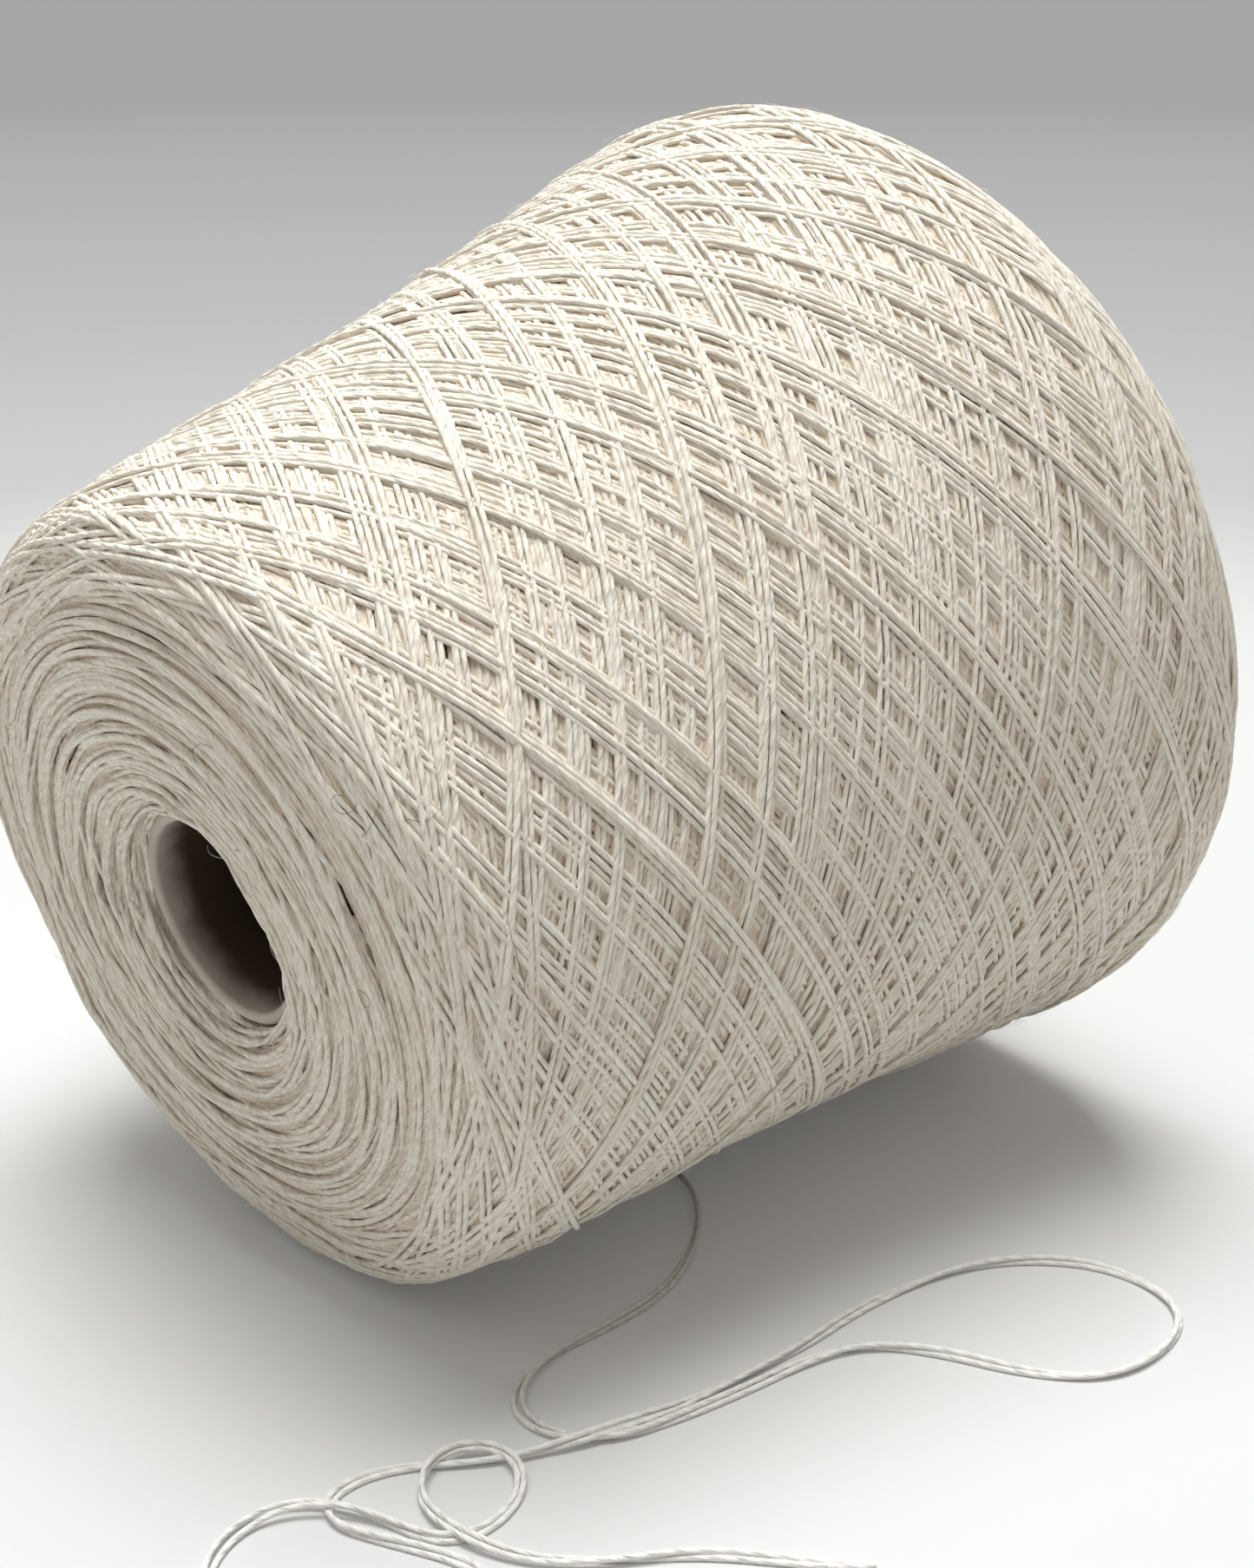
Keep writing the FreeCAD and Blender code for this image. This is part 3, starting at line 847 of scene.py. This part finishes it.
@dataclass
class Winding:
    """All the thread on the package: turns on the faces first, then the crossing strokes.

    Lengths are in millimetres.
    """

    pose: Pose
    contour: Contour
    strand_radius: float = 0.48
    strand_width: float = 1.04
    strand_height: float = 0.86
    strokes: int = 840
    stroke_turns: float = 23.0 / 28.0 + 0.000975
    # angle in radians over which a stroke turns back, and the stations where it does
    turn_zone: float = 1.1
    turn_stations: tuple[float, float] = (1.2, 148.6)
    # stations where the turns on the faces end
    face_stations: tuple[float, float] = (9.0, 141.5)
    face_layers: tuple[float, float] = (5.0, 4.0)
    # tension pulls a strand down, and it stands over what is round it by its pile at most
    press: float = 0.3
    face_pile: float = 0.16
    side_pile: float = 0.15
    # share of a turn that an arc on a face goes round, and of the arc before the next begins
    arc_share: tuple[float, float] = (0.24, 0.5)
    arc_step: float = 0.82
    # how far an arc usually slants, and how far its ends bow away from the hole
    arc_drift: float = 1.3
    arc_bow: tuple[float, float] = (0.2, 1.6)
    # how far short of its station a stroke turns back, at the small and at the large end
    near_spread: tuple[float, float] = (-8.0, 6.0)
    far_spread: tuple[float, float] = (-6.0, 4.0)
    # half the distance between the two strands of a stroke
    pair_gap: float = 0.5
    # grid columns from one point of a mesh to the next
    side_every: int = 13
    face_every: int = 16
    # a strand's ends go under over so many columns, so far on the faces and on the side
    dive_columns: float = 50.0
    face_dive: float = 1.5
    side_dive: float = 0.9
    # how deep a gap is left as laid, and how much deeper the rest of it comes at most
    free_depth: float = 0.2
    face_depth: float = 0.35
    side_depth: float = 0.45
    # share of the unevenness that is taken out, and the cells that its level is taken over
    evening: float = 0.6
    level_cells: int = 11
    # share of the surface that stays under the outline
    top_share: float = 0.72
    # a strand is hidden so far under others, and is cut there with a margin in columns
    cover: float = 0.5
    cut_margin: int = 14
    cut_sink: float = 0.5
    shortest: int = 24
    piece_triangles: int = 180000
    # how far the inner layers lie under the strands' mean level, and under the outline at most
    body_depth: float = 1.9
    body_limit: float = 3.0
    body_rings: int = 150
    body_sides: int = 128
    # how far over the floor the inner layers stay, in metres
    body_gap: float = 0.0006
    bed: Bed = field(init=False)
    strands: dict[str, list[Strand]] = field(default_factory=dict)
    chance: np.random.Generator = field(init=False)
    sink: np.ndarray = field(init=False)
    level: np.ndarray = field(init=False)
    row_level: np.ndarray = field(init=False)
    face_edge: float = field(init=False)

    def __post_init__(self) -> None:
        """Make the empty bed and the seeded source of chance, and find the small face's edge."""
        self.bed = Bed(self.contour.length)
        self.chance = np.random.default_rng(41)
        self.face_edge = self.contour.side_place(self.face_stations[0])

    def wobble(self, count: int, size: float, step: int) -> np.ndarray:
        """A slow random wander.

        Args:
            count: How many points it has.
            size: Its usual size in millimetres.
            step: Grid columns from one bend to the next.

        Returns:
            The wander at each point, in millimetres.
        """
        knots = self.chance.normal(0.0, size, count // step + 3)
        return smooth(np.interp(np.arange(count) / step, np.arange(len(knots)), knots), step // 3)

    def lay(self, group: str, first: int, along: np.ndarray, pile: float, dive: float) -> None:
        """Lay one strand and keep it.

        Args:
            group: The kind of piece that it goes to.
            first: Its first grid column.
            along: Its place along the outline at each column.
            pile: How far it may stand over its surroundings.
            dive: How deep both its ends go under.
        """
        radius = self.strand_radius * float(self.chance.uniform(0.9, 1.08))
        step = np.arange(len(along))
        ends = np.minimum(step, step[::-1]) / self.dive_columns
        under = dive * np.clip(1.0 - ends, 0.0, 1.0) ** 2
        height = self.bed.lay(first, along, radius * self.strand_height, pile, self.press, under)
        shade = float(self.chance.random())
        self.strands.setdefault(group, []).append(Strand(first, along, height, radius, shade))

    def lay_face(self, end: End) -> None:
        """Lay the arcs that show on one face, where older strokes turned back.

        Args:
            end: Which face.
        """
        small = end is End.SMALL
        rim = self.contour.side_place(self.face_stations[0 if small else 1])
        low, high = (1.0, rim) if small else (rim, self.contour.length - 1.0)
        layers = self.face_layers[0 if small else 1]
        rings = int((high - low) / (2 * self.strand_radius) * layers)
        for place in self.chance.permutation(rings):
            middle = low + (high - low) * (place + 0.5) / rings
            begin = int(self.chance.integers(Bed.COLUMNS))
            done = 0
            while done < Bed.COLUMNS:
                count = int(Bed.COLUMNS * self.chance.uniform(*self.arc_share))
                share = np.linspace(-1.0, 1.0, count)
                drift = float(self.chance.normal(0.0, self.arc_drift))
                bow = float(self.chance.uniform(*self.arc_bow)) * (1 if small else -1)
                along = middle + drift * share + bow * share**2
                along = along + self.wobble(count, 0.1, 90)
                along = np.clip(along, low - 0.3, high + 3.0)
                first = (begin + done) % Bed.COLUMNS
                group = f"{end.value}_end_thread"
                self.lay(group, first, along, self.face_pile, self.face_dive)
                done += int(count * self.arc_step)

    def lay_strokes(self) -> None:
        """Lay the crossing strokes, two strands side by side, from rim to rim and back."""
        turn_columns = self.stroke_turns * Bed.COLUMNS
        zone = self.turn_zone / TURN * Bed.COLUMNS
        small, large = (self.contour.side_place(station) for station in self.turn_stations)
        start = 0.0
        low = self.contour.side_place(3.0)
        for stroke in range(self.strokes):
            near = small + float(self.chance.uniform(*self.near_spread))
            far = large - float(self.chance.uniform(*self.far_spread))
            finish = far if stroke % 2 == 0 else near
            columns = int(start + turn_columns + self.chance.normal(0.0, 1.6)) - int(start)
            step = np.arange(columns + 1)
            from_turn = np.minimum(step, columns - step)
            pace = 0.5 / (columns / 2 - zone / 2)
            part = np.where(
                from_turn < zone,
                pace * from_turn**2 / (2 * zone),
                pace * (from_turn - zone / 2),
            )
            part = np.where(step > columns / 2, 1.0 - part, part)
            middle = low + (finish - low) * part + self.wobble(columns + 1, 0.4, 260)
            gap = self.pair_gap + np.abs(self.wobble(columns + 1, 0.16, 200))
            first = int(start) % Bed.COLUMNS
            for along in (middle - gap, middle + gap):
                self.lay("cross_thread", first, along, self.side_pile, self.side_dive)
            start += turn_columns
            low = finish

    def seen_parts(self, strand: Strand) -> list[Strand]:
        """The stretches of a strand that aren't buried, with a margin under what covers them."""
        step = np.arange(len(strand.along))
        columns, rows = self.bed.cells(strand.first + step, strand.along, 3)
        side = int(strand.radius / Bed.PITCH)
        over = np.min([self.bed.height[columns, rows + cell] for cell in (-side, 0, side)], axis=0)
        seen = over < strand.height + strand.radius + self.cover
        spread = np.convolve(seen, np.ones(2 * self.cut_margin + 1), mode="same") > 0
        edges = np.flatnonzero(np.diff(np.concatenate([[False], spread, [False]]).astype(int)))
        parts = []
        for first, last in zip(edges[::2], edges[1::2]):
            if last - first <= self.shortest:
                continue
            share = np.arange(last - first) / self.cut_margin
            sink = self.cut_sink * np.clip(1.0 - share, 0, 1) ** 2 * (first > 0)
            sink += self.cut_sink * np.clip(1.0 - share[::-1], 0, 1) ** 2 * (last < len(seen))
            part = replace(
                strand,
                first=strand.first + int(first),
                along=strand.along[first:last],
                height=strand.height[first:last] - sink,
            )
            parts.append(part)
        return parts

    def line(self, strand: Strand, every: int) -> tuple[np.ndarray, ...]:
        """Centre points and outward directions of a strand, thinned to a few columns each.

        Args:
            strand: The strand.
            every: Grid columns from one point to the next.

        Returns:
            The points in millimetres, the directions and the depth under the surroundings.
        """
        picks = np.unique(np.append(np.arange(0, len(strand.along), every), len(strand.along) - 1))
        along, laid = strand.along[picks], strand.height[picks]
        angle = TURN * (strand.first + picks) / Bed.COLUMNS
        column, row = self.bed.cells(strand.first + picks, along, 0)
        depth = self.level[column, row] - laid - strand.radius * self.strand_height
        deep = np.maximum(depth - self.free_depth, 0.0)
        side = [self.face_edge - 10.0, self.face_edge]
        most = np.interp(along, side, [self.face_depth, self.side_depth])
        packed = most * (1.0 - np.exp(-deep / most))
        uneven = self.level[column, row] - self.row_level[row]
        height = laid - np.interp(along, self.bed.places(), self.sink)
        height = height + deep - packed - self.evening * uneven
        station, radius = self.contour.at(along, height)
        out_s, out_r = self.contour.outward(along)
        points = self.pose.turned(radius, angle, station)
        tips = self.pose.turned(radius + out_r, angle, station + out_s)
        return points, tips - points, depth - deep + packed

    def tubes(self) -> TubeMesh:
        """An empty mesh for strands, which lie a little wider than high."""
        return TubeMesh(6, self.strand_width, self.strand_height)

    def build(self) -> list[bpy.types.Object]:
        """Lay all the thread and make its pieces.

        Returns:
            The pieces, the inner layers among them.
        """
        self.lay_face(End.SMALL)
        self.lay_face(End.LARGE)
        self.lay_strokes()
        self.sink = self.bed.top(self.top_share)
        self.level = self.bed.level(self.level_cells)
        self.row_level = self.level.mean(axis=0)
        thread = ThreadFinish().make()
        made = []
        for group, strands in self.strands.items():
            tubes = self.tubes()
            every = self.side_every if group == "cross_thread" else self.face_every
            number = 1
            for strand in strands:
                for part in self.seen_parts(strand):
                    points, out, depth = self.line(part, every)
                    radius = np.full(len(points), part.radius)
                    radius[[0, -1]] *= 0.6
                    tubes.add(points, out, radius, part.shade, depth)
                if tubes.triangles > self.piece_triangles or strand is strands[-1]:
                    piece = tubes.make(f"{group}_{number}")
                    piece.data.materials.append(thread)
                    LOG.info("%s: %d triangles", piece.name, tubes.triangles)
                    made.append(piece)
                    tubes = self.tubes()
                    number += 1
        LOG.info("strands: %s", {group: len(kept) for group, kept in self.strands.items()})
        made.append(self.inner_layers())
        stands_for = {
            "small_end_thread_1": ["small_end_turns"],
            "large_end_thread_1": ["large_end_turns"],
            "inner_layers": ["thread_core"],
            "cross_thread_1": ["cross_winding"],
        }
        for piece in made:
            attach(piece, "root")
            if piece.name in stands_for:
                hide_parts(*stands_for[piece.name])
        return made

    def inner_layers(self) -> bpy.types.Object:
        """The closed body under the strands.

        Returns:
            The body.
        """
        rings, count = self.body_rings, self.body_sides
        along = np.linspace(0.0, self.contour.length, rings)
        under = np.interp(along, self.bed.places(), self.sink - self.row_level)
        depth = -np.clip(under + self.body_depth, self.body_depth, self.body_limit)
        station, radius = self.contour.at(along, depth)
        angle = TURN * np.arange(count) / count
        grid = self.pose.turned(
            radius[:, None], angle[None, :], station[:, None] + 0 * angle[None, :]
        )
        spots = grid.reshape(-1, 3) * MM
        spots[:, 2] = np.maximum(spots[:, 2], self.body_gap)
        faces = [
            (ring * count + step, ring * count + (step + 1) % count,
             after * count + (step + 1) % count, after * count + step)
            for ring in range(rings)
            for after in [(ring + 1) % rings]
            for step in range(count)
        ]
        mesh = bpy.data.meshes.new("inner_layers")
        mesh.from_pydata(spots.tolist(), [], faces)
        body = in_scene("inner_layers", mesh)
        open_alone(body)
        close_outward(body)
        mesh.materials.append(PaintedShadePackFinish().make())
        return body


@dataclass
class LooseFibres:
    """Fine fibres that stand off the thread: pale ones all over, and a few dark ones."""

    winding: Winding
    pale: int = 1700
    pale_radius: float = 0.028
    dark_radius: float = 0.04
    points: int = 9
    # angle in degrees from the floor side, place along the outline, and length in millimetres
    dark_spots: tuple[Spot, ...] = (
        (155.0, 23.0, 7.0), (128.0, 47.0, 9.0), (126.0, 50.0, 6.0), (123.0, 51.5, 8.0),
        (97.0, 58.0, 10.0), (100.0, 57.0, 7.0), (135.0, 17.0, 1.6), (99.0, 30.0, 8.0),
        (230.0, 34.0, 8.0), (300.0, 110.0, 7.0), (200.0, 150.0, 6.0),
    )

    def line(
        self, angle: float, along: float, length: float, curl: float
    ) -> tuple[np.ndarray, np.ndarray]:
        """One fibre that leaves the surface, bends and nearly comes back to it.

        Args:
            angle: Where it starts round the package, in radians.
            along: Where it starts along the outline, in millimetres.
            length: Its length in millimetres.
            curl: How far it turns on its way, in radians.

        Returns:
            Its points in millimetres and a direction across it at each.
        """
        winding, chance = self.winding, self.winding.chance
        share = np.linspace(0.0, 1.0, self.points)
        heading = chance.normal(0.0, 0.6) + math.pi * chance.integers(2) + curl * share
        heading = heading + chance.normal(0.0, 0.15, self.points)
        pace = length / (self.points - 1)
        places = along + np.cumsum(np.sin(heading)) * pace
        places = np.clip(places, 0.5, winding.contour.length - 0.5)
        reach = float(winding.contour.at(np.array([along]), np.zeros(1))[1][0])
        angles = angle + np.cumsum(np.cos(heading)) * pace / reach
        rise = chance.uniform(0.3, 1.3)
        height = 0.1 + rise * np.sin(share * math.pi * chance.uniform(0.55, 1.0))
        station, radius = winding.contour.at(places, height)
        points = winding.pose.turned(radius, angles, station)
        way = np.gradient(points, axis=0)
        out = np.cross(way, np.roll(way, 1, axis=1) + [0.3, 0.1, 0.7])
        return points, out

    def build(self) -> list[bpy.types.Object]:
        """Scatter the fibres.

        Returns:
            The pale piece and the dark piece.
        """
        chance, contour = self.winding.chance, self.winding.contour
        pale, dark = TubeMesh(3), TubeMesh(4)
        for _ in range(self.pale):
            angle, along = chance.uniform(0, TURN), chance.uniform(1, contour.length - 1)
            length = chance.uniform(2.5, 7.0)
            points, out = self.line(angle, along, length, chance.normal(0.0, 1.2))
            pale.add(points, out, np.full(self.points, self.pale_radius), 0.5)
        for angle, along, length in self.dark_spots:
            points, out = self.line(math.radians(angle), along, length, chance.normal(0.0, 2.5))
            dark.add(points, out, np.full(self.points, self.dark_radius), 0.5)
        light = FibreFinish("pale_fibre", (0.93, 0.90, 0.84), (0.78, 0.73, 0.64))
        deep = FibreFinish("dark_fibre", (0.14, 0.10, 0.07), (0.06, 0.045, 0.035))
        pieces = [pale.make("pale_fibres"), dark.make("dark_fibres")]
        for piece, finish in zip(pieces, (light, deep)):
            piece.data.materials.append(finish.make())
            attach(piece, "root")
        LOG.info("fibres: %d pale, %d dark", self.pale, len(self.dark_spots))
        return pieces


@dataclass
class LooseTail:
    """The loose tail: two thin ends that run side by side over the floor."""

    diameter: float = 1.4
    length: float = 639.0
    strand_radius: float = 0.46
    twist: float = 90.0
    start: Spot = (2.58, -19.55, 0.86)
    # X and Y on the floor, and how many threads up, in millimetres
    route: tuple[Spot, ...] = (
        (-1.0, -25.2, 0), (-3.6, -34.6, 0), (-13.4, -45.2, 0), (-28.8, -52.6, 0),
        (-43.0, -53.2, 0), (-55.2, -52.0, 0), (-64.4, -54.2, 0), (-68.8, -60.0, 0),
        (-67.8, -67.6, 0), (-61.8, -74.4, 0), (-52.0, -77.3, 0), (-40.6, -79.4, 0),
        (-29.4, -80.8, 0), (-18.6, -84.4, 0), (-10.8, -94.4, 0), (-5.0, -108.0, 0),
        (3.6, -118.2, 0), (16.4, -120.2, 0), (26.2, -116.2, 0), (29.6, -107.2, 0),
        (27.4, -97.6, 0), (20.4, -89.2, 0), (10.2, -82.8, 0), (-1.2, -79.4, 0),
        (-12.6, -78.3, 0), (-24.0, -78.8, 0), (-35.2, -77.6, 0), (-46.4, -75.9, 0.1),
        (-57.8, -74.1, 1), (-67.2, -71.2, 1), (-75.0, -67.2, 0), (-81.8, -62.4, 0),
        (-88.2, -56.6, 0), (-95.0, -53.9, 0), (-101.4, -54.6, 0), (-103.8, -59.4, 0),
        (-101.6, -65.2, 0), (-98.6, -71.0, 0), (-95.4, -77.8, 0), (-94.2, -86.4, 0),
        (-97.6, -95.6, 0), (-106.0, -101.0, 0), (-116.0, -99.6, 0), (-124.0, -92.4, 0),
        (-128.0, -81.6, 0), (-128.6, -70.4, 0), (-126.4, -60.4, 0), (-120.4, -53.0, 0),
        (-113.0, -50.2, 0.2), (-106.2, -52.2, 1), (-100.6, -58.2, 1), (-97.8, -65.0, 0),
        (-95.6, -72.4, 0), (-89.4, -75.6, 0), (-81.4, -73.8, 0), (-77.0, -69.6, 1),
        (-76.8, -63.8, 1), (-81.2, -59.6, 1), (-87.4, -59.8, 1), (-91.8, -64.0, 0.5),
        (-93.2, -70.0, 1), (-92.2, -77.0, 1), (-88.2, -84.8, 0), (-80.6, -92.6, 0),
        (-70.4, -100.4, 0), (-62.6, -110.4, 0), (-55.6, -118.6, 0),
    )
    layer: float = 1.1
    # half the distance between the ends where they lie close, and how far one rides up
    close: float = 0.47
    ride: float = 0.46
    settle: float = 0.24
    # where the ends splay: middle along the tail, reach to each side, and half the width
    splays: tuple[Spot, ...] = (
        (95.0, 26.0, 0.35), (150.0, 30.0, 0.25), (330.0, 24.0, 0.30), (505.0, 30.0, 0.55),
        (600.0, 24.0, 0.45),
    )
    # length of a mesh step, and a depth that keeps the painted shade off the tail but for a little
    # on its low side
    step: float = 1.3
    clear: float = -0.7

    def centre_line(self) -> np.ndarray:
        """Points of the tail's smooth line, in millimetres."""
        curve = bpy.data.curves.new("tail_line", "CURVE")
        curve.dimensions = "3D"
        curve.resolution_u = 8
        spline = curve.splines.new("NURBS")
        lift = self.diameter / 2
        spots = [self.start] + [(x, y, lift + up * self.layer) for x, y, up in self.route]
        spline.points.add(len(spots) - 1)
        for point, (east, north, up) in zip(spline.points, spots):
            point.co = (east * MM, north * MM, up * MM, 1.0)
        spline.order_u = 3
        spline.use_endpoint_u = True
        holder = in_scene("tail_line", curve)
        bpy.context.view_layer.update()
        drawn = bpy.data.meshes.new_from_object(holder)
        points = np.array([vertex.co[:] for vertex in drawn.vertices]) / MM
        bpy.data.objects.remove(holder)
        bpy.data.meshes.remove(drawn)
        return points

    def apart(self, travel: np.ndarray) -> np.ndarray:
        """Half the distance between the two ends along the tail, wider where they splay."""
        half = np.full(len(travel), self.close)
        for middle, reach, wide in self.splays:
            half += wide * np.clip(1.0 - ((travel - middle) / reach) ** 2, 0.0, 1.0) ** 2
        return half

    def build(self) -> bpy.types.Object:
        """Make both ends along the smooth line.

        Returns:
            The tail.
        """
        line = self.centre_line()
        travel = travelled(line)
        fine = np.linspace(0.0, travel[-1], int(travel[-1] / self.step))
        line = np.stack([np.interp(fine, travel, line[:, axis]) for axis in range(3)], axis=-1)
        up = np.tile([0.0, 0.0, 1.0], (len(line), 1))
        side = unit(np.cross(unit(np.gradient(line, axis=0)), up))
        turn = TURN * fine / self.twist
        half = self.apart(fine)
        tubes = TubeMesh(8)
        for sign in (-1.0, 1.0):
            aside = sign * half * np.cos(turn)
            rise = self.ride * (np.abs(np.sin(turn)) + sign * np.sin(turn)) - self.settle
            strand = line + side * aside[:, None] + up * rise[:, None]
            rest = self.strand_radius * 0.98
            strand[:, 2] = np.maximum(strand[:, 2], rest)
            radius = np.full(len(line), self.strand_radius)
            radius[-4:] *= (0.97, 0.9, 0.75, 0.5)
            tubes.add(strand, up, radius, 0.5 + 0.2 * sign, np.full(len(line), self.clear))
        tail = tubes.make("tail")
        # the tail's thread is whiter, with a lighter painted shade colour
        finish = ThreadFinish(
            name="tail_thread",
            light=(0.955, 0.945, 0.92),
            dark=(0.86, 0.84, 0.80),
            painted_shade=(0.72, 0.68, 0.62),
        )
        tail.data.materials.append(finish.make())
        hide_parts("loose_tail")
        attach(tail, "root")
        LOG.info("tail: line %.0f mm long, %d triangles", travel[-1], tubes.triangles)
        return tail


@dataclass
class Studio:
    """The camera, the soft light and the pale floor."""

    eye: Spot = (-0.2463, -0.2627, 0.2076)
    aim: Spot = (0.65560, 0.66331, -0.36084)
    focal_px: float = 2472.24
    height_px: float = 1807.0

    def place_camera(self) -> None:
        """Put the camera at the photograph's place and angle."""
        data = bpy.data.cameras.new("camera")
        data.sensor_fit = "VERTICAL"
        data.sensor_height = 24.0
        data.lens = self.focal_px / self.height_px * data.sensor_height
        data.clip_start = 0.01
        data.clip_end = 60.0
        camera = in_scene("camera", data)
        camera.location = self.eye
        camera.rotation_euler = Vector(self.aim).to_track_quat("-Z", "Y").to_euler()
        bpy.context.scene.camera = camera

    def lamp(self, name: str, place: Spot, size: float, power: float) -> None:
        """Add one soft square lamp that faces the package.

        Args:
            name: The lamp's name.
            place: Where it hangs, in metres.
            size: Its side in metres.
            power: Its power in watts.
        """
        data = bpy.data.lights.new(name, "AREA")
        data.size = size
        data.energy = power
        data.color = (0.97, 1.0, 0.99)
        lamp = in_scene(name, data)
        lamp.location = place
        towards = Vector((0.0, 0.0, 0.08)) - Vector(place)
        lamp.rotation_euler = towards.to_track_quat("-Z", "Y").to_euler()

    def build(self) -> None:
        """Lay the floor, hang the lamps and set the world and the view."""
        bpy.ops.object.select_all(action="DESELECT")
        bpy.ops.mesh.primitive_plane_add(size=24.0, location=(0.0, 0.0, 0.0))
        floor = bpy.context.object
        floor.name = "floor"
        floor.data.materials.append(FloorFinish().make())
        self.lamp("key", (0.08, 0.11, 1.6), 0.95, 32.5)
        self.lamp("side_fill", (-0.964, 0.0, 1.229), 0.8, 2.2)
        bpy.context.scene.world = SkyFinish().make()
        bpy.context.scene.view_settings.view_transform = "Standard"


def main() -> None:
    """Build the cone, its tail and the studio around them."""
    logging.basicConfig(level=logging.INFO, format="%(message)s")
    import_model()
    studio = Studio()
    studio.place_camera()
    pose = Pose()
    LooseTail().build()
    PaperTube(pose).build()
    winding = Winding(pose, Contour())
    winding.build()
    LooseFibres(winding).build()
    studio.build()


if __name__ == "__main__":
    main()
